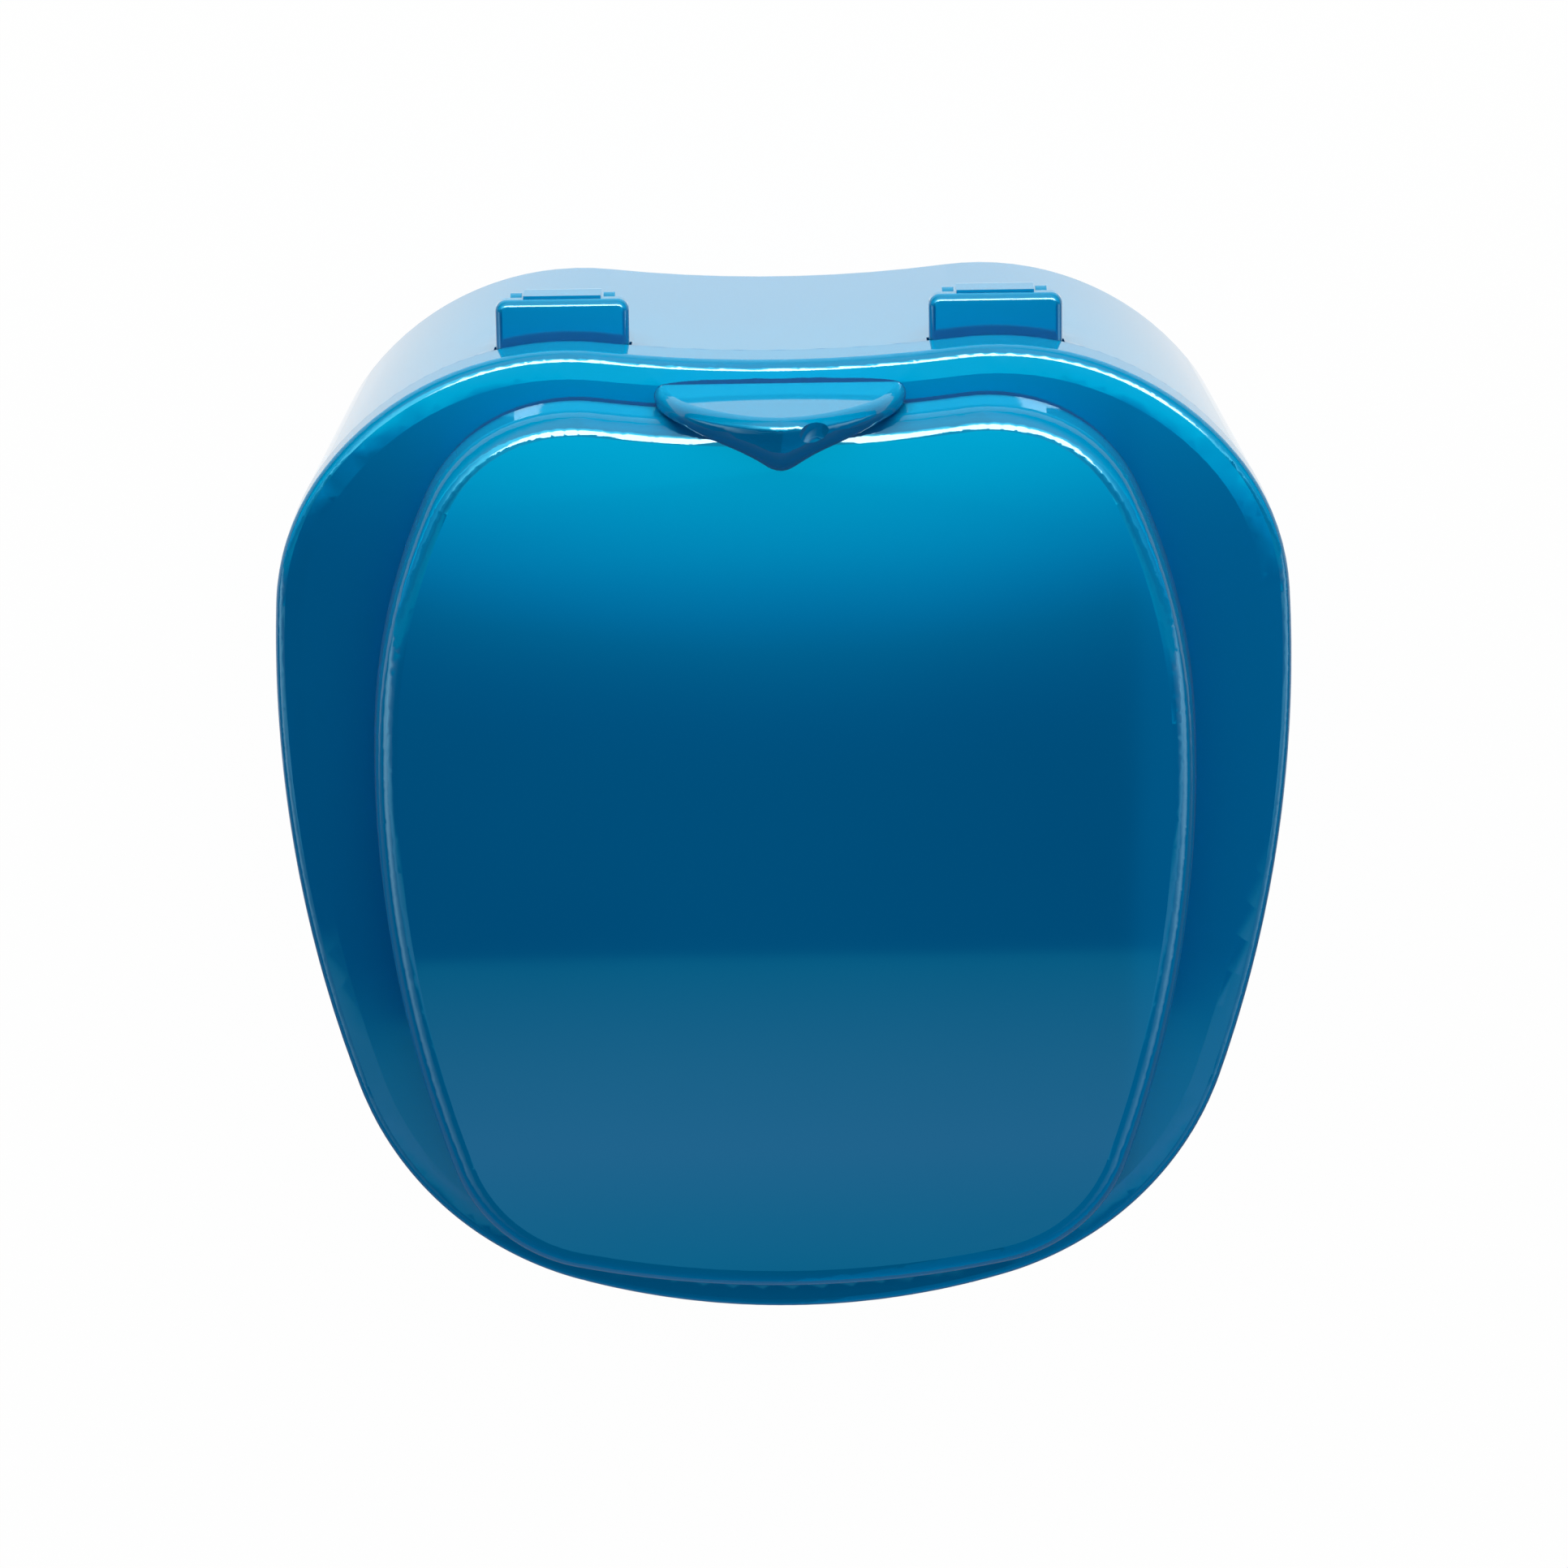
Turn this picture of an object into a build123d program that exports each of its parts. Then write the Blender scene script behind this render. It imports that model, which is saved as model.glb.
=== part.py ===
from build123d import *
import math
import os

# Millimetres. X is the width, -Y the rounded front, +Y the hinge side, Z is up.
# An outline is a chain of arcs that run into each other, each with its radius and its turn in degrees.
# It starts at the dip between the two lobes, the only hollow arc, and a last arc closes it at the front.
case_radii = [133.0, 27.3, 21.3, 119.3, 29.2]
case_angles = [6.7, 57.8, 35.5, 21.9, 55]
panel_radii = [123.4, 16.1, 13.6, 56.2, 106.6, 14.9]
panel_angles = [7.4, 26.3, 46.2, 21.7, 22.5, 58.7]
rim_height = 50.0          # table to the flat rim face of the lid

# Tub
tub_wall = 2.2
tub_floor = 2.2
tub_draft = 1.8            # how far the wall leans in at the base
base_radius = 3.0
floor_radius = 2.0
foot_width = 3.0
foot_recess = 0.8
lip_height = 2.5

# Lid
skirt_height = 5.0
skirt_wall = 1.1
skirt_gap = 0.25           # skirt to lip, all round
lid_plate = 2.0
lid_edge_radius = 0.9
lid_fall_width = 2.4       # the rim face falls away towards the edge
lid_fall = 0.1
lid_fall_sections = 4
panel_back_margin = 4.34   # rim left behind the panel, dip to dip
panel_height = 4.5
panel_crown = 0.45
panel_lean = 0.45          # how far the panel wall leans in over its height
panel_radius = 2.0
panel_wall = 2.0
panel_root_radius = 0.2

# Half-disc ledge on the lid, its flat face towards the hinge
ledge_width = 24.0
ledge_height = 10.9
ledge_depth = 5.0
ledge_back = 3.0           # rim left between the case outline and the flat face
ledge_angle = 5.5          # how far the flat face leans back
ledge_edge_radius = 1.0
ledge_wall = 1.6
ledge_root_share = 0.25    # share of the ledge wall by which its foot stands inside the lid
# Arch of the ledge from its foot to near its top, as shares of the half width and of the height
arch_shoulder = (0.90, 0.40)
arch_brow = (0.58, 0.76)
# Sections of the ledge from back to front: share of the depth, of the half width and of the height
ledge_sections = [(0, 1.0, 1.0), (0.35, 0.88, 0.96), (0.7, 0.58, 0.86), (1.0, 0.3, 0.7), (1.3, 0.16, 0.38)]
ledge_hollow_sections = 3
gate_radius = 1.25
gate_ball_radius = 2.5
gate_offset = 3.6
gate_setback = 2.25        # in front of the ledge's flat face
gate_level = 0.895         # share of the ledge's height where the mark lies
gate_lean = 16.0

# Hinges
hinge_spacing = 38.0
leaf_reach = 3.6           # how far a hinge leaf stands out behind the lobes
leaf_overhang = 1.25       # leaf beyond the ears on each side
leaf_root = 3.0            # leaf inside the case outline, at its root
leaf_thickness = 1.5
leaf_edge_radius = 0.6
leaf_corner_radius = 1.0
leaf_clearance = 0.2
pin_radius = 0.8
pin_reach = 2.3            # pin centre behind the lobes
pin_drop = 3.65            # pin centre below the seam
barrel_radius = 1.57
barrel_width = 6.8
barrel_web = 1.0           # web from the leaf to the barrel, beyond the pin centre line
pin_clearance = 0.05
ear_radius = 1.3
ear_thickness = 1.0
ear_gap = 0.2
ear_gusset = 7.0

# Rinse basket
basket_gap = 1.0           # basket wall to tub wall
basket_wall = 1.3
basket_floor = 1.5
basket_headroom = 4.0      # basket rim to the underside of the lid
basket_lean = 3.0
basket_foot = 3.0
foot_radius = 2.5
foot_back_margin = 22.0    # feet in front of the lobes
foot_front_margin = 24.0   # feet behind the front
basket_rim_width = 0.5
basket_rim_height = 1.6
floor_hole_radius = 1.7
floor_hole_pitch = 9.0
floor_hole_web = 1.02      # floor left between a hole and a foot
slot_width = 2.6
slot_height = 9.5
slot_rib = 3.0             # solid band between the two rows of slots
slot_count = 40
slot_start = 11.0          # lowest slot edge above the table

# Bail handle of the basket
bail_radius = 1.2
bail_arm = 8.0
bail_corner = 26.0
bail_rise = 0.6            # pivot line above the basket rim
bail_pivot_back = 28.0     # pivot line in front of the lobes
bail_eye_radius = 2.1
bail_eye_width = 2.8
bail_side_gap = 0.3
stub_radius = 1.2
stub_grip = 1.4            # how far a stub reaches into its lug
stub_clearance = 0.05
lug_width = 6.4
lug_thickness = 2.4
lug_cover = 1.8            # lug material above the pivot centre
lug_tail = 7.2             # lug below the pivot centre, down the wall

# Derived heights
seam_z = rim_height - skirt_height
lid_under_z = rim_height - lid_plate
pin_z = seam_z - pin_drop
lip_inset = skirt_wall + skirt_gap
basket_base_z = tub_floor + basket_foot
basket_top_z = lid_under_z - basket_headroom
lug_skin = basket_wall / 3                # basket wall left outside a lug
bail_z = basket_top_z + bail_rise
pin_length = barrel_width + 2 * (ear_gap + ear_thickness)
leaf_width = pin_length + 2 * leaf_overhang


def outline_arcs(radii, angles, dip_y, inset):
    """Edges of an outline moved inwards by one distance, and the last point at the front."""
    x, y, heading = 0, dip_y - inset, 0
    edges = []
    for index, (radius, turn) in enumerate(zip(radii, angles)):
        side = -1 if index == 0 else 1
        bend = radius - side * inset
        slope = math.radians(heading)
        centre = (x + side * bend * math.sin(slope), y - side * bend * math.cos(slope))
        start = heading + side * 90
        if index == 0:
            edges.append(CenterArc(centre, bend, start - turn, 2 * turn))
        else:
            edges.append(CenterArc(centre, bend, start, -turn))
            edges.append(mirror(edges[-1], about=Plane.YZ))
        heading -= side * turn
        angle = math.radians(start - side * turn)
        x, y = centre[0] + bend * math.cos(angle), centre[1] + bend * math.sin(angle)
    last_turn = 180 + heading
    bend = x / math.sin(math.radians(last_turn))
    centre_y = y + bend * math.cos(math.radians(last_turn))
    edges.append(CenterArc((0, centre_y), bend, 270 - last_turn, 2 * last_turn))
    return edges, centre_y - bend


# The middle of the whole length, hinge leaves included, lies at Y = 0.
# The lobes stand out behind the dip by the rise of the hollow arc and the arc after it.
case_reach = -outline_arcs(case_radii, case_angles, 0, 0)[1]
lobe_rise = (case_radii[0] + case_radii[1]) * (1 - math.cos(math.radians(case_angles[0])))
hinge_reach = max(leaf_reach, pin_reach + barrel_radius)
dip_y = (case_reach - lobe_rise - hinge_reach) / 2
lobe_y = dip_y + lobe_rise
front_y = dip_y - case_reach
pin_y = lobe_y + pin_reach
bail_y = lobe_y - bail_pivot_back


def case_face(inset):
    return make_face(outline_arcs(case_radii, case_angles, dip_y, inset)[0]).face()


def panel_face(inset):
    return make_face(outline_arcs(panel_radii, panel_angles, dip_y - panel_back_margin, inset)[0]).face()


def case_half_width():
    return case_face(0).bounding_box().size.X / 2


def at(height, shape):
    return Pos(0, 0, height) * shape


def slab(face, low, high):
    return extrude(at(low, face), amount=high - low)


def leaning(low, low_inset, high, high_inset):
    """Block with the case outline whose wall leans evenly between two heights."""
    return loft([at(low, case_face(low_inset)), at(high, case_face(high_inset))], ruled=True)


def lowest_edges(solid):
    return solid.faces().sort_by(Axis.Z)[0].edges()


def highest_edges(solid):
    return solid.faces().sort_by(Axis.Z)[-1].edges()


def hinge_sides():
    return [side * hinge_spacing / 2 for side in (-1, 1)]


def along_x(radius, length, x, y, z):
    return Pos(x, y, z) * Rot(0, 90, 0) * Cylinder(radius, length)


def make_tub():
    shell = leaning(0, tub_draft, seam_z, 0)
    shell = fillet(lowest_edges(shell), base_radius)
    shell += slab(case_face(lip_inset), seam_z - 1, seam_z + lip_height)
    hollow = leaning(tub_floor, tub_wall + tub_draft, seam_z, tub_wall)
    hollow = fillet(lowest_edges(hollow), floor_radius)
    hollow += slab(case_face(tub_wall), seam_z, seam_z + lip_height)
    foot = case_face(tub_draft + base_radius + foot_width)
    tub = shell - hollow - slab(foot, 0, foot_recess)
    for x in hinge_sides():
        tub = tub - leaf_notch(x)
        for side in (-1, 1):
            tub += hinge_ear(x + side * (pin_length - ear_thickness) / 2)
        tub -= along_x(pin_radius, pin_length, x, pin_y, pin_z)
    return tub


def leaf_notch(x):
    """Room in the rim for the root of a lid leaf."""
    depth = leaf_thickness + leaf_clearance
    reach = 2 * leaf_reach
    room = Pos(x, lobe_y, seam_z - depth / 2) * Box(leaf_width + 2 * leaf_clearance, reach, depth)
    return room - slab(case_face(lip_inset), 0, rim_height)


def hinge_ear(x):
    """Ear that carries a pin end, blended down the wall as a gusset."""
    plane = Plane(origin=(x - ear_thickness / 2, 0, 0), x_dir=(0, 1, 0), z_dir=(1, 0, 0))
    wall_y = lobe_y - tub_wall / 2
    eye = Pos(pin_y, pin_z) * Circle(ear_radius)
    root = Line((wall_y, pin_z + ear_radius), (wall_y, pin_z - ear_gusset))
    return extrude(plane * make_hull(eye.edges() + root.edges()), amount=ear_thickness)


def make_lid():
    lid = rim_block()
    lid -= slab(case_face(skirt_wall), seam_z, lid_under_z)
    lid += panel_block(0, lid_under_z)
    rims = [face for face in lid.faces().filter_by(Axis.Z) if face.inner_wires()]
    root = sorted(rims, key=lambda face: face.center().Z)[-1].inner_wires()[0]
    lid = fillet(root.edges(), panel_root_radius)
    lid += ledge_block(0)
    lid -= panel_block(panel_wall, seam_z)
    lid -= ledge_block(ledge_wall)
    lid -= gate_ball()
    for x in hinge_sides():
        lid += hinge_leaf(x)
    return lid


def rim_block():
    """Lid with a flat rim face that falls away softly before its rounded edge."""
    low_z = rim_height - lid_fall
    sections = []
    for step in range(lid_fall_sections + 1):
        share = step / lid_fall_sections
        sections.append(at(rim_height - lid_fall * (1 - share) ** 2, case_face(share * lid_fall_width)))
    block = slab(case_face(0), seam_z, low_z) + loft(sections)
    near = lid_fall / (2 * lid_fall_sections)
    edges = [edge for edge in block.edges() if abs(edge.center().Z - low_z) < near]
    return fillet(edges, lid_edge_radius)


def panel_block(wall, base_z):
    """Raised panel, or the hollow under it when a wall is given."""
    top_z = rim_height + panel_height
    peak_z = top_z + panel_crown
    lean = panel_lean * (peak_z - rim_height) / panel_height
    body = slab(panel_face(wall), base_z, rim_height)
    body += loft([at(rim_height, panel_face(wall)), at(peak_z, panel_face(wall + lean))], ruled=True)
    size = panel_face(0).bounding_box()
    front, back = (size.min.Y, top_z - wall), (size.max.Y, top_z - wall)
    middle = ((size.min.Y + size.max.Y) / 2, peak_z - wall)
    sides = Polyline(back, (back[0], base_z - 1), (front[0], base_z - 1), front)
    profile = make_face([ThreePointArc(front, middle, back), sides])
    side_plane = Plane(origin=(size.min.X - 1, 0, 0), x_dir=(0, 1, 0), z_dir=(1, 0, 0))
    body = body & extrude(side_plane * profile, amount=size.size.X + 2)
    return fillet(highest_edges(body), panel_radius - wall / 2)


def ledge_profile(depth, half_width, height, base_z):
    """Half-disc arch on the rim that leans away from the hinge side, where it is seen from."""
    lean = math.radians(ledge_angle)
    rise = rim_height - base_z
    base_y = lobe_y - ledge_back - depth + rise * math.tan(lean)
    away = (0, -math.cos(lean), -math.sin(lean))
    plane = Plane(origin=(0, base_y, base_z), x_dir=(1, 0, 0), z_dir=away)
    right = [(half_width, 0)]
    right += [(across * half_width, rise + up * height) for across, up in (arch_shoulder, arch_brow)]
    left = [(-x, z) for x, z in right[::-1]]
    arch = Spline(*right, (0, rise + height), *left)
    return plane * make_face([arch, Line(left[-1], right[0])])


def ledge_block(wall):
    """Half-disc ledge with a bulging front that runs down into the panel."""
    base_z = seam_z if wall else lid_under_z + ledge_root_share * ledge_wall
    sections = []
    for share, spread, rise in ledge_sections[:ledge_hollow_sections] if wall else ledge_sections:
        depth = wall + share * (ledge_depth - 2 * wall)
        half_width = spread * ledge_width / 2 - wall
        sections.append(ledge_profile(depth, half_width, rise * ledge_height - wall, base_z))
    block = loft(sections)
    if wall:
        return block
    back = block.faces().sort_by(Axis.Y)[-1]
    return fillet(back.edges().sort_by(Axis.Z)[-1], ledge_edge_radius)


def gate_ball():
    """Ball that presses the small round moulding mark into the brow of the ledge."""
    lift = math.sqrt(gate_ball_radius**2 - gate_radius**2)
    lean = math.radians(gate_lean)
    y = lobe_y - ledge_back - gate_setback - lift * math.sin(lean)
    z = rim_height + gate_level * ledge_height + lift * math.cos(lean)
    return Pos(gate_offset, y, z) * Sphere(gate_ball_radius)


def hinge_leaf(x):
    """Leaf under the skirt with the round barrel that turns on the pin."""
    outer_y = lobe_y + leaf_reach
    inner_y = lobe_y - leaf_root
    middle = (x, (outer_y + inner_y) / 2, seam_z - leaf_thickness / 2)
    leaf = Pos(*middle) * Box(leaf_width, outer_y - inner_y, leaf_thickness)
    leaf = fillet(leaf.edges().filter_by(Axis.Z).sort_by(Axis.Y)[-2:], leaf_corner_radius)
    root_edge = leaf.edges().group_by(Axis.Z)[-1].sort_by(Axis.Y)[0]
    rounded = [edge for edge in leaf.edges().group_by(Axis.Z)[-1] if edge != root_edge]
    leaf = fillet(rounded, leaf_edge_radius)
    leaf -= slab(case_face(skirt_wall), 0, rim_height)
    web_low = pin_z
    web_high = seam_z - leaf_thickness / 2
    web_depth = barrel_web + barrel_radius
    web_y = pin_y + barrel_radius - web_depth / 2
    leaf += Pos(x, web_y, (web_low + web_high) / 2) * Box(barrel_width, web_depth, web_high - web_low)
    leaf += along_x(barrel_radius, barrel_width, x, pin_y, pin_z)
    return leaf - along_x(pin_radius + pin_clearance, barrel_width + 1, x, pin_y, pin_z)


def make_pin(x):
    return along_x(pin_radius, pin_length, x, pin_y, pin_z)


def make_basket():
    top_inset = tub_wall + basket_gap
    body = leaning(basket_base_z, top_inset + basket_lean, basket_top_z, top_inset)
    body = fillet(lowest_edges(body), floor_radius)
    body += slab(case_face(top_inset - basket_rim_width), basket_top_z - basket_rim_height, basket_top_z)
    inner_low = basket_base_z + basket_floor
    hollow = leaning(inner_low, top_inset + basket_lean + basket_wall, basket_top_z, top_inset + basket_wall)
    basket = body - hollow
    basket -= wall_slots(top_inset)
    basket -= floor_holes(top_inset + basket_lean + basket_wall)
    for side in (-1, 1):
        basket += bail_lug(side)
        basket -= bail_bore(side)
    for x, y in foot_places():
        basket += Pos(x, y, tub_floor + basket_foot / 2) * Cylinder(foot_radius, basket_foot)
    return basket


def foot_places():
    spread = case_half_width() / 2
    rows = (lobe_y - foot_back_margin, front_y + foot_front_margin)
    return [(side * spread, y) for y in rows for side in (-1, 1)]


def wall_slots(top_inset):
    """Two rows of upright slots that follow the wall all round."""
    path = case_face(top_inset + basket_lean / 2).outer_wire()
    reach = 2 * (basket_wall + basket_lean)
    cuts = []
    for index in range(slot_count):
        share = (index + 0.5) / slot_count
        place = path.position_at(share)
        heading = path.tangent_at(share)
        turn = math.degrees(math.atan2(heading.Y, heading.X))
        for row in range(2):
            middle_z = slot_start + slot_height / 2 + row * (slot_height + slot_rib)
            slot = Box(slot_width, reach, slot_height)
            cuts.append(Pos(place.X, place.Y, middle_z) * Rot(0, 0, turn) * slot)
    return cuts


def floor_holes(margin):
    """Staggered round drain holes that keep clear of the wall and the feet."""
    edge = case_face(margin + 2 * floor_hole_radius)
    pitch_y = floor_hole_pitch * math.sqrt(3) / 2
    cuts = []
    rows = math.ceil(case_reach / pitch_y)
    for row in range(-rows, rows):
        for column in range(-rows, rows):
            x = (column + 0.5 * (row % 2)) * floor_hole_pitch
            y = row * pitch_y
            clear = foot_radius + floor_hole_radius + floor_hole_web
            near_foot = any(math.dist((x, y), foot) < clear for foot in foot_places())
            if edge.is_inside((x, y, 0)) and not near_foot:
                cuts.append(Pos(x, y, basket_base_z) * Cylinder(floor_hole_radius, 4 * basket_floor))
    return cuts


def lug_outer_x():
    """Outer face of the lugs, bedded in the basket wall where it is widest."""
    return case_half_width() - tub_wall - basket_gap - lug_skin


def bail_lug(side):
    """Upright lug on the basket wall with the bore for a bail stub."""
    top_z = bail_z + lug_cover
    low_z = bail_z - lug_tail
    x = side * (lug_outer_x() - lug_thickness / 2)
    lug = Pos(x, bail_y, (top_z + low_z) / 2) * Box(lug_thickness, lug_width, top_z - low_z)
    return fillet(lug.edges().filter_by(Axis.X).group_by(Axis.Z)[-1], lug_cover)


def bail_bore(side):
    """Bore for a stub, through the lug and the basket wall behind it."""
    length = 3 * lug_thickness
    x = side * (lug_outer_x() - lug_thickness / 2)
    return along_x(stub_radius + stub_clearance, length, x, bail_y, bail_z)


def make_bail():
    """Folded flat inside the rim: two arms, rounded corners and a cross bar."""
    face_x = lug_outer_x() - lug_thickness - bail_side_gap
    arm_x = face_x - bail_eye_width / 2
    corner_y = bail_y - bail_arm
    cross_y = corner_y - bail_corner
    route = Line((-arm_x, bail_y), (-arm_x, corner_y))
    route += TangentArc((-arm_x, corner_y), (-arm_x + bail_corner, cross_y), tangent=(0, -1))
    route += Line((-arm_x + bail_corner, cross_y), (arm_x - bail_corner, cross_y))
    route += TangentArc((arm_x - bail_corner, cross_y), (arm_x, corner_y), tangent=(1, 0))
    route += Line((arm_x, corner_y), (arm_x, bail_y))
    section = Plane(origin=(-arm_x, bail_y, 0), x_dir=(1, 0, 0), z_dir=(0, -1, 0)) * Circle(bail_radius)
    bail = at(bail_z, sweep(section, path=route))
    reach = stub_grip + bail_side_gap
    for side in (-1, 1):
        bail += along_x(bail_eye_radius, bail_eye_width, side * arm_x, bail_y, bail_z)
        bail += along_x(stub_radius, reach, side * (face_x + reach / 2), bail_y, bail_z)
    return bail


def write(name, shape):
    solids = shape.solids()
    print(name, len(solids), "solid", round(sum(solid.volume for solid in solids), 1), "mm3")
    export_step(solids[0] if len(solids) == 1 else Compound(solids), f"parts/{name}.step")


os.makedirs("parts", exist_ok=True)
write("tub", make_tub())
write("lid", make_lid())
for name, x in zip(("hinge_pin_left", "hinge_pin_right"), hinge_sides()):
    write(name, make_pin(x))
write("rinse_basket", make_basket())
write("basket_bail", make_bail())
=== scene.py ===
# %% [markdown]
# # A two-lobed rinse basket case
# This notebook gives a small bath case its looks. The case is a glossy blue tub with a hinged lid, and a
# white rinse basket with a folding handle waits inside it. Every shape was modelled beforehand as solids
# and packed into one frame, together with the joints it moves on. The first step loads that frame. Nothing
# in it is moved or reshaped here, so the lesson is about finishes, a floor, light and a camera.

# %% Load the frame
import math

import bmesh
import bpy
from mathutils import Matrix, Vector

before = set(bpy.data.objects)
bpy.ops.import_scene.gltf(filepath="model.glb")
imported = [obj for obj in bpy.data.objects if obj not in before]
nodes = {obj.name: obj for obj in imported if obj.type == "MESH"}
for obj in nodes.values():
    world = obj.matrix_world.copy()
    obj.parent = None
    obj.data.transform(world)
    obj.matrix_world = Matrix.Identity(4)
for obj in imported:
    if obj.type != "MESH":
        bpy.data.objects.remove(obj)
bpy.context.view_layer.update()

mm_per_metre = 1000


print("nodes:", sorted(nodes))

# %% [markdown]
# ## The camera
# The picture looks down on the closed case from behind its hinge, about sixteen degrees off the vertical,
# and the hinge side is at the top of the frame. A Track To constraint could aim the camera, but it has no
# say over the small roll. So the camera's three axes are worked out from the look direction and the roll,
# and they say exactly how it stands. Distance and lens belong together: they decide how much narrower the
# base looks than the lid.

# %% Camera
look_down = math.radians(15.73)
camera_roll = math.radians(0.84)
camera_distance = 0.55
aim_point = Vector((-0.00015, 0.003165, 0.050))
sensor_mm, lens_mm = 36, 142.45
nearest_seen, farthest_seen = 0.01, 20

right = Vector((1, 0, 0))
up = Vector((0, math.cos(look_down), -math.sin(look_down)))
back = right.cross(up)
axis_x = math.cos(camera_roll) * right - math.sin(camera_roll) * up
axis_y = math.sin(camera_roll) * right + math.cos(camera_roll) * up
turn = Matrix((axis_x, axis_y, back)).transposed()

camera_data = bpy.data.cameras.new("camera")
camera_data.sensor_width = sensor_mm
camera_data.lens = lens_mm
camera_data.clip_start = nearest_seen
camera_data.clip_end = farthest_seen
camera = bpy.data.objects.new("camera", camera_data)
bpy.context.scene.collection.objects.link(camera)
camera.matrix_world = Matrix.Translation(aim_point + camera_distance * back) @ turn.to_4x4()
bpy.context.scene.camera = camera
bpy.context.scene.view_settings.view_transform = "Standard"
print("camera at", [round(value, 3) for value in camera.matrix_world.translation])

# %% [markdown]
# ## Helpers for materials
# Every finish in this notebook is a handful of shader nodes. They could be clicked together in the shader
# editor, but a script gives the same result each time and leaves its numbers where they can be read. One
# helper adds a node, sets its values and links what feeds it, so that a recipe stays a few lines long.

# %% Nodes and places
def new_finish(name):
    """An empty material with its node tree."""
    finish = bpy.data.materials.new(name)
    finish.use_nodes = True
    finish.node_tree.nodes.clear()
    return finish, finish.node_tree


def add_node(tree, kind, values=(), **settings):
    """A shader node; values are (socket, value or output socket) pairs."""
    node = tree.nodes.new(kind)
    for key, value in settings.items():
        setattr(node, key, value)
    for socket, value in values:
        if isinstance(value, bpy.types.NodeSocket):
            tree.links.new(value, node.inputs[socket])
        else:
            node.inputs[socket].default_value = value
    return node


def object_place(tree):
    """The place on the piece, in metres."""
    return add_node(tree, "ShaderNodeTexCoord").outputs["Object"]


def axes_of(tree, vector):
    """The three parts of a vector: across, along and upward."""
    return add_node(tree, "ShaderNodeSeparateXYZ", [(0, vector)]).outputs


def close_finish(tree, shader):
    """The shader on its way out of the material."""
    add_node(tree, "ShaderNodeOutputMaterial", [("Surface", shader.outputs[0])])


print("helpers for nodes and places are ready")

# %% [markdown]
# Moulded plastic is never quite even, and noise is the simplest way to say so. A painted map would give
# the same look but would need an image, so each unevenness is noise of a known size in millimetres, and a
# ramp picks out the part of it that should show.

# %% Noise, ramps and sums
def noise_at(tree, place, size_mm, detail=2.0, roughness=0.5):
    """Soft noise whose blobs are about size_mm across."""
    return add_node(tree, "ShaderNodeTexNoise", [("Vector", place), ("Scale", mm_per_metre / size_mm),
                                                 ("Detail", detail), ("Roughness", roughness)]).outputs["Fac"]


def colour_ramp(tree, factor, stops):
    """A colour ramp with (position, red, green, blue) stops."""
    node = add_node(tree, "ShaderNodeValToRGB", [("Fac", factor)])
    steps = node.color_ramp.elements
    first_and_last = len(steps)
    for _ in stops[first_and_last:]:
        steps.new(0.5)
    for step, (position, *colour) in zip(steps, stops):
        step.position = position
        step.color = (*colour, 1)
    return node.outputs["Color"]


def ramp(tree, factor, stops):
    """The same with (position, grey level) stops."""
    return colour_ramp(tree, factor, [(position, level, level, level) for position, level in stops])


def mix_colour(tree, factor, first, second, blend="MIX"):
    """Two colours mixed, or with another blend multiplied or added."""
    return add_node(tree, "ShaderNodeMix", [(0, factor), (6, first), (7, second)],
                    data_type="RGBA", blend_type=blend).outputs[2]


def mix_value(tree, factor, first, second):
    """Two numbers mixed."""
    return add_node(tree, "ShaderNodeMix", [(0, factor), (2, first), (3, second)]).outputs[0]


def math_node(tree, operation, *values):
    """One sum, such as ADD or MULTIPLY."""
    return add_node(tree, "ShaderNodeMath", list(enumerate(values)), operation=operation).outputs[0]


print("helpers for noise, ramps and sums are ready")

# %% [markdown]
# ## Glossy blue plastic
# The tub and the lid are injection moulded in one bright blue plastic, polished like a mirror. A single
# colour would look like paint. The pigment in a real moulding is never stirred in perfectly, so the tone
# drifts a little between two blues that are very close to each other, in blobs a few centimetres wide.

# %% Tone of the blue
case_blue = (0.0, 0.130, 0.334, 1)
case_blue_deep = (0.0, 0.120, 0.318, 1)
drift_size_mm = 40
drift_stops = [(0.35, 0), (0.7, 1)]


def case_tone(tree, place):
    drift = ramp(tree, noise_at(tree, place, drift_size_mm), drift_stops)
    return mix_colour(tree, drift, case_blue, case_blue_deep)


print("blue drifts over about", drift_size_mm, "mm")

# %% [markdown]
# The polished lid in the picture carries a few specks of dust. They could be scattered as tiny meshes, but
# at a quarter of a millimetre a pattern does as well and moves with the lid. A Voronoi texture gives one
# point in each cell, a ramp on the distance to it makes a round speck, and slow noise keeps only the
# specks in a few patches.

# %% Specks of dust
dust_white = (0.55, 0.66, 0.74, 1)
dust_cells_per_metre = 120.0
speck_stops = [(0.020, 1), (0.034, 0)]
dusty_patch_mm, dusty_patch_detail = 9, 0
dusty_patch_stops = [(0.66, 0), (0.70, 1)]


def dust_mask(tree, place):
    """One on a speck and nought elsewhere."""
    cells = add_node(tree, "ShaderNodeTexVoronoi", [("Vector", place), ("Scale", dust_cells_per_metre)])
    speck = ramp(tree, cells.outputs["Distance"], speck_stops)
    patch = ramp(tree, noise_at(tree, place, dusty_patch_mm, dusty_patch_detail), dusty_patch_stops)
    return math_node(tree, "MULTIPLY", speck, patch)


print("specks about", round(speck_stops[-1][0] / dust_cells_per_metre * mm_per_metre, 2), "mm in radius")

# %% [markdown]
# ## Duller hinge leaves
# The two hinge leaves are part of the lid, but they mirror less than the polished faces, as if they came
# from a blasted slide of the mould. A second material on them would need its faces picked out of the
# solid. A mask is safer: two boxes in Object coordinates that hold just the leaves, so one plastic serves
# the whole lid.

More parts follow.
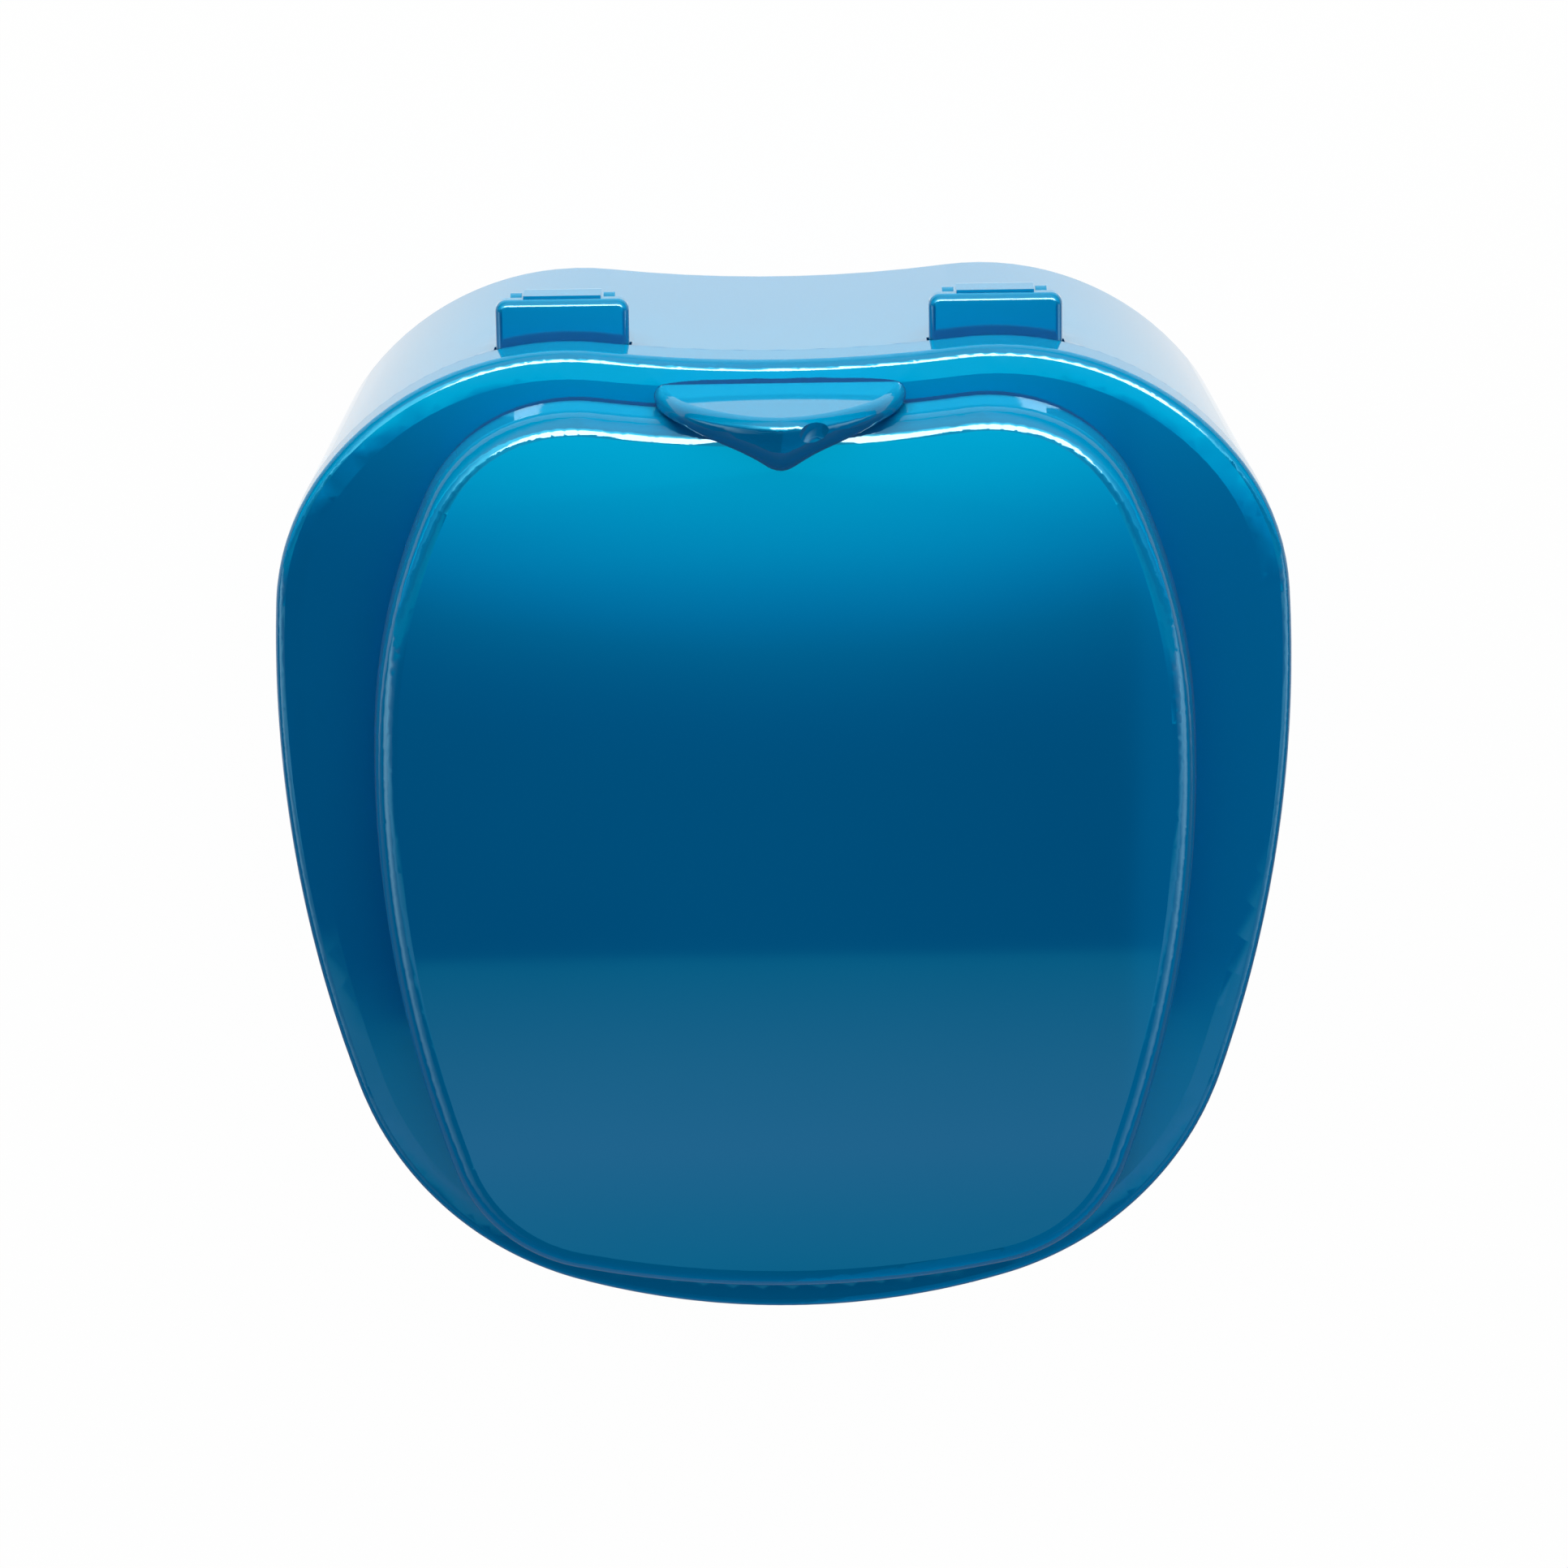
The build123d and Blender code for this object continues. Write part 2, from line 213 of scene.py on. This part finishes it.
# %% Mask of the leaves
leaf_middle_x = 0.019
leaf_half_width = 0.0061
leaf_from_y = 0.0415
leaf_low_z, leaf_high_z = 0.0430, 0.0452


def leaf_mask(tree, place):
    """One on the two hinge leaves and nought elsewhere."""
    across, along, upward = axes_of(tree, place)
    off_middle = math_node(tree, "SUBTRACT", math_node(tree, "ABSOLUTE", across), leaf_middle_x)
    inside = math_node(tree, "LESS_THAN", math_node(tree, "ABSOLUTE", off_middle), leaf_half_width)
    for test in (math_node(tree, "GREATER_THAN", along, leaf_from_y),
                 math_node(tree, "GREATER_THAN", upward, leaf_low_z),
                 math_node(tree, "LESS_THAN", upward, leaf_high_z)):
        inside = math_node(tree, "MULTIPLY", inside, test)
    return inside


print("each leaf mask is", round(2 * leaf_half_width * mm_per_metre, 1), "mm wide")

# %% [markdown]
# Gloss is where polished plastic tells its story. Roughness stays very low, rises a little where fingers
# have been, more on a speck of dust, and most on the leaves. It could be one number, but then every
# highlight would be equally sharp, which looks like glass.

# %% Gloss of the case
polished_roughness, handled_roughness = 0.022, 0.036
handled_mm, handled_detail = 14, 3
dust_roughness = 0.5
leaf_roughness = 0.09


def case_roughness(tree, place, dust, leaf):
    handled = noise_at(tree, place, handled_mm, handled_detail)
    gloss = add_node(tree, "ShaderNodeMapRange", [("Value", handled), ("To Min", polished_roughness),
                                                  ("To Max", handled_roughness)]).outputs[0]
    gloss = math_node(tree, "MULTIPLY_ADD", dust, dust_roughness, gloss)
    return mix_value(tree, leaf, gloss, leaf_roughness)


print("roughness from", polished_roughness, "to", leaf_roughness, "on the leaves")

# %% [markdown]
# A moulded skin also sinks by about a hundredth of a millimetre as it cools, which bends reflections
# slightly. That is too shallow to model, so it is a faint bump. The same bump shades the flat leaves as if
# they leaned a little to the front, by a height that grows towards the back. The recipe then comes
# together in one Principled shader, whose IOR and cool Specular Tint are plain values on its own sockets.

# %% Blue plastic
sink_mm, sink_detail = 26, 1
leaf_lean = 1000.0
sink_strength, sink_depth = 0.008, 0.001
case_ior = 1.5
case_mirror_tint = (0.8, 0.92, 1.0, 1)


def make_case_finish():
    finish, tree = new_finish("case_plastic_gloss")
    place = object_place(tree)
    dust, leaf = dust_mask(tree, place), leaf_mask(tree, place)
    colour = mix_colour(tree, dust, case_tone(tree, place), dust_white)
    along = axes_of(tree, place)[1]
    lean = math_node(tree, "MULTIPLY", leaf, math_node(tree, "MULTIPLY", along, leaf_lean))
    height = math_node(tree, "ADD", noise_at(tree, place, sink_mm, sink_detail), lean)
    ripple = add_node(tree, "ShaderNodeBump",
                      [("Height", height), ("Strength", sink_strength), ("Distance", sink_depth)])
    shader = add_node(tree, "ShaderNodeBsdfPrincipled",
                      [("Base Color", colour), ("Roughness", case_roughness(tree, place, dust, leaf)),
                       ("Normal", ripple.outputs[0]), ("IOR", case_ior), ("Specular Tint", case_mirror_tint)])
    close_finish(tree, shader)
    return finish


def dress(names, finish):
    """Give each named node one finish."""
    for name in names:
        nodes[name].data.materials.clear()
        nodes[name].data.materials.append(finish)
    print(finish.name, "on", ", ".join(names))


dress(("tub", "lid", "hinge_pin_left", "hinge_pin_right"), make_case_finish())

# %% [markdown]
# ## White basket plastic
# The rinse basket and its handle are moulded in a softer white plastic with a satin surface. Such plastic
# lets light in a little way, which softens the edges of its slots, so a small share of subsurface light is
# used instead of a plain matt white. Fine grain in the surface and a slow drift of tone keep it from
# looking like paper.

# %% White plastic
basket_white = (0.78, 0.81, 0.83, 1)
basket_shade = (0.70, 0.74, 0.77, 1)
basket_drift_mm, basket_drift_detail = 18, 3
basket_drift_stops = [(0.3, 0), (0.75, 1)]
grain_mm, grain_detail = 0.35, 2
grain_strength, grain_depth = 0.12, 0.0001
basket_roughness, basket_ior, basket_specular = 0.34, 1.49, 0.15
soft_light_share, soft_light_depth = 0.15, 0.002


def make_basket_finish():
    finish, tree = new_finish("basket_plastic_satin")
    place = object_place(tree)
    drift = ramp(tree, noise_at(tree, place, basket_drift_mm, basket_drift_detail), basket_drift_stops)
    colour = mix_colour(tree, drift, basket_white, basket_shade)
    bump = add_node(tree, "ShaderNodeBump", [("Height", noise_at(tree, place, grain_mm, grain_detail)),
                                             ("Strength", grain_strength), ("Distance", grain_depth)])
    shader = add_node(tree, "ShaderNodeBsdfPrincipled",
                      [("Base Color", colour), ("Roughness", basket_roughness), ("Normal", bump.outputs[0]),
                       ("IOR", basket_ior), ("Specular IOR Level", basket_specular),
                       ("Subsurface Weight", soft_light_share), ("Subsurface Scale", soft_light_depth)])
    close_finish(tree, shader)
    return finish


dress(("rinse_basket", "basket_bail"), make_basket_finish())

# %% [markdown]
# ## The floor
# The case stands on a white sweep that shows no edge. A real sweep is a bent sheet of card, and it could
# be extruded from a curve, but from this height only its flat part is in view.

# %% Floor disc
floor_radius = 1.5
floor_corners = 96

floor_mesh = bpy.data.meshes.new("floor")
disc = bmesh.new()
bmesh.ops.create_circle(disc, cap_ends=True, segments=floor_corners, radius=floor_radius)
disc.to_mesh(floor_mesh)
disc.free()
floor = bpy.data.objects.new("floor", floor_mesh)
bpy.context.scene.collection.objects.link(floor)
print("floor disc of", floor_corners, "corners,", 2 * floor_radius, "m across")

# %% [markdown]
# A lit white floor never comes out as even as a backdrop in a picture does. So the camera and the mirror
# and glass rays mostly see plain white light of strength 1, and the small rest is a matt white that takes
# the soft shadow of the case. In front of the case the floor's glow for mirror rays falls off to a low level,
# a painted shadow of the case that the lid and the ledge mirror, while the camera still sees the floor white.

# %% Floor finish
floor_white = (0.90, 0.90, 0.90, 1)
plain_white = (1, 1, 1, 1)
floor_glow_share = 0.98
shade_from, shade_to = -0.015, -0.045
shade_level = 0.15


def seen_rays(tree):
    """One for camera, mirror and glass rays, and nought for the rays that carry soft light."""
    ray = add_node(tree, "ShaderNodeLightPath").outputs
    seen = math_node(tree, "MAXIMUM", ray["Is Camera Ray"], ray["Is Glossy Ray"])
    return math_node(tree, "MAXIMUM", seen, ray["Is Transmission Ray"])


def make_floor_finish():
    finish, tree = new_finish("floor_white")
    matt = add_node(tree, "ShaderNodeBsdfDiffuse", [("Color", floor_white)])
    along = axes_of(tree, object_place(tree))[1]
    # painted shadow: in front of the case the floor's glow for mirror rays falls to shade_level
    mirrored_shadow_level = add_node(tree, "ShaderNodeMapRange", [("Value", along), ("From Min", shade_to),
                                                           ("From Max", shade_from), ("To Min", shade_level)])
    camera_ray = add_node(tree, "ShaderNodeLightPath").outputs["Is Camera Ray"]
    level = math_node(tree, "MAXIMUM", camera_ray, mirrored_shadow_level.outputs[0])
    glow = add_node(tree, "ShaderNodeEmission", [("Color", plain_white), ("Strength", level)])
    share = math_node(tree, "MULTIPLY", seen_rays(tree), floor_glow_share)
    close_finish(tree, add_node(tree, "ShaderNodeMixShader",
                                [(0, share), (1, matt.outputs[0]), (2, glow.outputs[0])]))
    return finish


floor_mesh.materials.append(make_floor_finish())
print("floor shows", floor_glow_share, "plain white and the rest shadow")

# %% [markdown]
# ## The room as a world of directions
# The case was pictured in a white light tent, and its lid is nearly a mirror, so what the tent looks like
# matters as much as how bright it is. The tent could be built from real walls, but they would hide the
# case in other views. A world whose brightness depends on the direction can't get in the way. Each
# direction is split into two angles off the vertical: one lengthwise, positive towards the hinge, and one
# sideways.

# %% Directions of the world
world = bpy.data.worlds.new("tent")
bpy.context.scene.world = world
world.use_nodes = True
sky = world.node_tree
sky.nodes.clear()

direction = add_node(sky, "ShaderNodeTexCoord").outputs["Generated"]
sky_across, sky_along, sky_upward = axes_of(sky, direction)
lengthwise = math_node(sky, "DEGREES", math_node(sky, "ARCTAN2", sky_along, sky_upward))
to_the_right = math_node(sky, "DEGREES", math_node(sky, "ARCTAN2", sky_across, sky_upward))
sideways = math_node(sky, "ABSOLUTE", to_the_right)
print("the world is split into a lengthwise and a sideways angle")

# %% [markdown]
# Two helpers are enough to draw with angles. One turns a list of stops into a colour ramp over degrees,
# for things that fade, such as a glow. The other makes a step with a soft edge, for things that end, such
# as a panel. Where two steps are multiplied or taken from each other, they bound an area.

# %% Drawing with angles
edge_softness = 0.06


def colour_by_angle(angle, stops):
    """Colour that follows (degrees, red, green, blue) stops in straight lines."""
    low, high = stops[0][0], stops[-1][0]
    share = add_node(sky, "ShaderNodeMapRange", [("Value", angle), ("From Min", low), ("From Max", high)])
    placed = [((degrees - low) / (high - low), *colour) for degrees, *colour in stops]
    return colour_ramp(sky, share.outputs[0], placed)


def past(angle, limit, softness=edge_softness):
    """Nought before a limit and one after it, with a soft step between."""
    return add_node(sky, "ShaderNodeMapRange", [("Value", angle), ("From Min", limit - softness),
                                                ("From Max", limit + softness)]).outputs[0]


print("a step is", 2 * edge_softness, "degrees wide where nothing softer is asked")

# %% [markdown]
# ### The glow of the roof
# The broad blue shine on the raised panel is the lit roof of the tent. It starts from nothing at about 15
# degrees to the front and grows quickly towards the hinge. On the lid its front edge curves back at both
# sides, more on the left, so the angle that the ramp follows is bent by the square of the sideways angle,
# up to a limit.

# %% Roof glow
roof_stops = [(-18, 0, 0, 0), (-15.2, 0, 0.11, 0.2), (-14.6, 0, 0.22, 0.5), (-14.0, 0, 0.46, 0.93),
              (-13.4, 0, 1.1, 1.9), (-12.8, 0, 2.2, 4.2), (-12.2, 0, 3.6, 6.1), (-11.6, 0, 5.2, 8.0),
              (-11.0, 0, 6.8, 9.6), (-10.5, 0, 8.2, 11.2), (-6.5, 0.2, 8.8, 11.8), (-4.5, 0.2, 5, 6.8),
              (3.5, 0.2, 5, 6.8), (5, 2, 14, 17), (28, 2, 14, 17), (32, 1.5, 4, 5), (60, 1.2, 2.5, 3),
              (75, 1, 1.2, 1.3), (90, 1, 1, 1)]
glow_bend = 0.06
left_bend_most, right_bend_most = 2.4, 0.7

on_the_right = past(to_the_right, 0)
bend_most = math_node(sky, "MULTIPLY_ADD", on_the_right, right_bend_most - left_bend_most, left_bend_most)
bend = math_node(sky, "MULTIPLY", math_node(sky, "POWER", sideways, 2), glow_bend)
bent_angle = math_node(sky, "SUBTRACT", lengthwise, math_node(sky, "MINIMUM", bend, bend_most))
roof_glow = colour_by_angle(bent_angle, roof_stops)
print("roof glow of", len(roof_stops), "stops, brightest", max(max(stop[1:]) for stop in roof_stops))

# %% [markdown]
# The roof is brightest over the middle of the case and fades to both sides. The rolls along the panel's
# sides mirror those sides, so the fade shows there as the thin line that follows the edge. It differs
# along the case: quick at the front, slower over the roof panel, and bluer behind it.

# %% Fades to the sides
front_fade = [(0, 1, 1, 1), (9, 1, 1, 1), (13, 0.4, 0.4, 0.4), (22, 0.25, 0.25, 0.25), (60, 0.15, 0.15, 0.15)]
middle_fade = [(0, 1, 1, 1), (22, 1, 0.9, 0.9), (30, 0.7, 0.6, 0.65), (36, 0.3, 0.4, 0.45),
               (44, 0.1, 0.27, 0.33), (72, 0.05, 0.11, 0.16), (90, 0.05, 0.1, 0.15)]
back_fade = [(0, 1, 1, 1), (30, 1, 1, 1), (48, 0.3, 0.9, 1), (65, 0, 0.9, 1), (90, 0, 0.6, 1)]
middle_from, back_from, fade_softness = 2, 30, 3

fade = mix_colour(sky, past(lengthwise, middle_from, fade_softness),
                  colour_by_angle(sideways, front_fade), colour_by_angle(sideways, middle_fade))
fade = mix_colour(sky, past(lengthwise, back_from, fade_softness), fade, colour_by_angle(sideways, back_fade))
faded_roof = mix_colour(sky, 1.0, fade, roof_glow, "MULTIPLY")
print("three fades, with changes at", middle_from, "and", back_from, "degrees")

# %% [markdown]
# ### The front wall
# The paler lower half of the raised panel is the front wall of the tent. It ends in one straight edge with
# a dark gap above it, before the roof begins. A soft fade there would lose the most telling line of the
# picture, so the wall and the roof meet at a sharp step, which only blurs a little away from the middle.

# %% Front wall
front_stops = [(-90, 0, 0.3, 0.5), (-60, 0, 0.1, 0.1), (-36, 0, 0.25, 0.1), (-23.2, 0, 0.3, 0.3),
               (-22.5, 0.1, 1.35, 1.6), (-20.7, 0.44, 1.45, 1.85), (-19.5, 0.31, 1.3, 1.45),
               (-17.9, 0.06, 0.95, 0.95)]
front_edge = -17.85
blurred_softness = 0.5
blur_from, blur_change = 3.8, 0.3

sharp_edge, blurred_edge = past(lengthwise, front_edge), past(lengthwise, front_edge, blurred_softness)
edge = mix_value(sky, past(sideways, blur_from, blur_change), sharp_edge, blurred_edge)
tent = mix_colour(sky, edge, colour_by_angle(lengthwise, front_stops), faded_roof)
print("the front wall ends at", front_edge, "degrees")

# %% [markdown]
# ### The side walls
# The rounded edges of the case turn away to the sides and pick up the tent's side walls as narrow pale
# lines. They are added to what is there already, because two soft lights add up. The right wall also
# reaches a little further in, which tints the right-hand half of the lid.

# %% Side walls
side_wall = [(0, 0, 0, 0), (25, 0, 0, 0), (45, 0.6, 1.0, 1.1), (60, 2.0, 3.1, 3.4), (72, 2.2, 3.4, 3.8),
             (90, 0.5, 1, 1)]
side_wall_front, side_wall_front_softness = -50, 12
side_wall_back, side_wall_back_softness = -12, 3
right_wall_from = 3.4
right_wall = (0, 0.5, 1.1, 1)
no_light = (0, 0, 0, 1)

beside = math_node(sky, "SUBTRACT", past(lengthwise, side_wall_front, side_wall_front_softness),
                   past(lengthwise, side_wall_back, side_wall_back_softness))
on_side = mix_colour(sky, beside, no_light, colour_by_angle(sideways, side_wall))
on_right = mix_colour(sky, past(to_the_right, right_wall_from), no_light, right_wall)
tent = mix_colour(sky, 1.0, mix_colour(sky, 1.0, tent, on_side, "ADD"), on_right, "ADD")
print("side walls from", side_wall_front, "to", side_wall_back, "degrees")

# %% [markdown]
# ### The roof panel
# The white lines along the lobes are a very bright panel in the roof, just behind the vertical. Its front
# edge slants back to both sides, which is why the lines thin out and end where the lobes turn. An area
# lamp could stand there, but it would flood the floor and the lid with light. As a patch of the world it
# only mirrors.

# %% Roof panel
panel_from, panel_to = 4.0, 22.0
panel_left, panel_right = 14.0, 24.0
panel_left_slant, panel_right_slant = 0.3, 0.15
side_softness = 2.0
panel_level = 26.0

slant = math_node(sky, "MULTIPLY_ADD", on_the_right, panel_right_slant - panel_left_slant, panel_left_slant)
panel_angle = math_node(sky, "SUBTRACT", lengthwise, math_node(sky, "MULTIPLY", sideways, slant))
side_angle = math_node(sky, "SUBTRACT", sideways,
                       math_node(sky, "MULTIPLY", on_the_right, panel_right - panel_left))
outside = math_node(sky, "MAXIMUM", past(lengthwise, panel_to), past(side_angle, panel_left, side_softness))
in_panel = math_node(sky, "MULTIPLY", past(panel_angle, panel_from), math_node(sky, "SUBTRACT", 1, outside))
mirror_colour = mix_colour(sky, 1.0, tent, math_node(sky, "MULTIPLY", in_panel, panel_level), "ADD")
print("roof panel from", panel_from, "to", panel_to, "degrees at level", panel_level)

# %% [markdown]
# ### What each ray sees
# The camera sees plain white, which is the backdrop. Soft light sees one even level that only leans
# towards the hinge, so that each colour renders about as it is written. The drawn pattern is for mirror
# rays alone. A second mirror bounce sees just the part more than 18 degrees towards the hinge, because in
# a corner the bright bands would otherwise show up again in places where the picture has none.

# %% World
room_level = 0.60
room_lean = 0.55
room_tone = (0.95, 0.98, 1.0, 1)
one_bounce_depth = 2.5
second_mirror_from = 18.0

ray = add_node(sky, "ShaderNodeLightPath").outputs
one_mirror = math_node(sky, "LESS_THAN", ray["Ray Depth"], one_bounce_depth)
sees_pattern = math_node(sky, "MAXIMUM", one_mirror, past(lengthwise, second_mirror_from))
mirror_ray = math_node(sky, "MULTIPLY", ray["Is Glossy Ray"], sees_pattern)
room_strength = math_node(sky, "MULTIPLY_ADD", sky_along, room_lean * room_level, room_level)


def background(colour, strength=1.0):
    return add_node(sky, "ShaderNodeBackground", [("Color", colour), ("Strength", strength)]).outputs[0]


soft_or_mirror = add_node(sky, "ShaderNodeMixShader",
                          [(0, mirror_ray), (1, background(room_tone, room_strength)),
                           (2, background(mirror_colour))]).outputs[0]
seen = add_node(sky, "ShaderNodeMixShader",
                [(0, ray["Is Camera Ray"]), (1, soft_or_mirror), (2, background(plain_white))]).outputs[0]
add_node(sky, "ShaderNodeOutputWorld", [("Surface", seen)])
print("soft room level", room_level, "in a world of", len(sky.nodes), "nodes")

# %% [markdown]
# ## Two soft boxes
# Two real lamps stand low beside the case. The one behind the hinge makes the back wall of the tub pale,
# as in the picture, and the weaker one in front keeps the front from going dark in the other views. A
# point lamp would give a hot spot, so each is a long rectangle. The lid doesn't mirror them, because the
# world already holds every reflection.

# %% Soft boxes
def soft_box(name, place, target, size, level, tone):
    """A rectangular lamp that faces a target point; level is how bright its face looks."""
    lamp = bpy.data.lights.new(name, "AREA")
    lamp.shape = "RECTANGLE"
    lamp.size, lamp.size_y = size
    lamp.energy = level * math.pi * size[0] * size[1]
    lamp.color = tone
    box = bpy.data.objects.new(name, lamp)
    bpy.context.scene.collection.objects.link(box)
    aim = Vector(target) - Vector(place)
    box.matrix_world = Matrix.Translation(place) @ aim.to_track_quat("-Z", "Y").to_matrix().to_4x4()
    box.visible_glossy = False
    print(f"{name}: {size[0]:.2f} x {size[1]:.2f} m, {lamp.energy:.2f} W")


soft_box("box_behind", place=(0, 0.29, 0.030), target=(0, 0.04, 0.025), size=(0.50, 0.05),
         level=27.5, tone=(1.0, 1.0, 0.61))
soft_box("box_in_front", place=(0, -0.35, 0.020), target=(0, -0.04, 0.020), size=(0.50, 0.08),
         level=6.5, tone=(1.0, 1.0, 0.9))
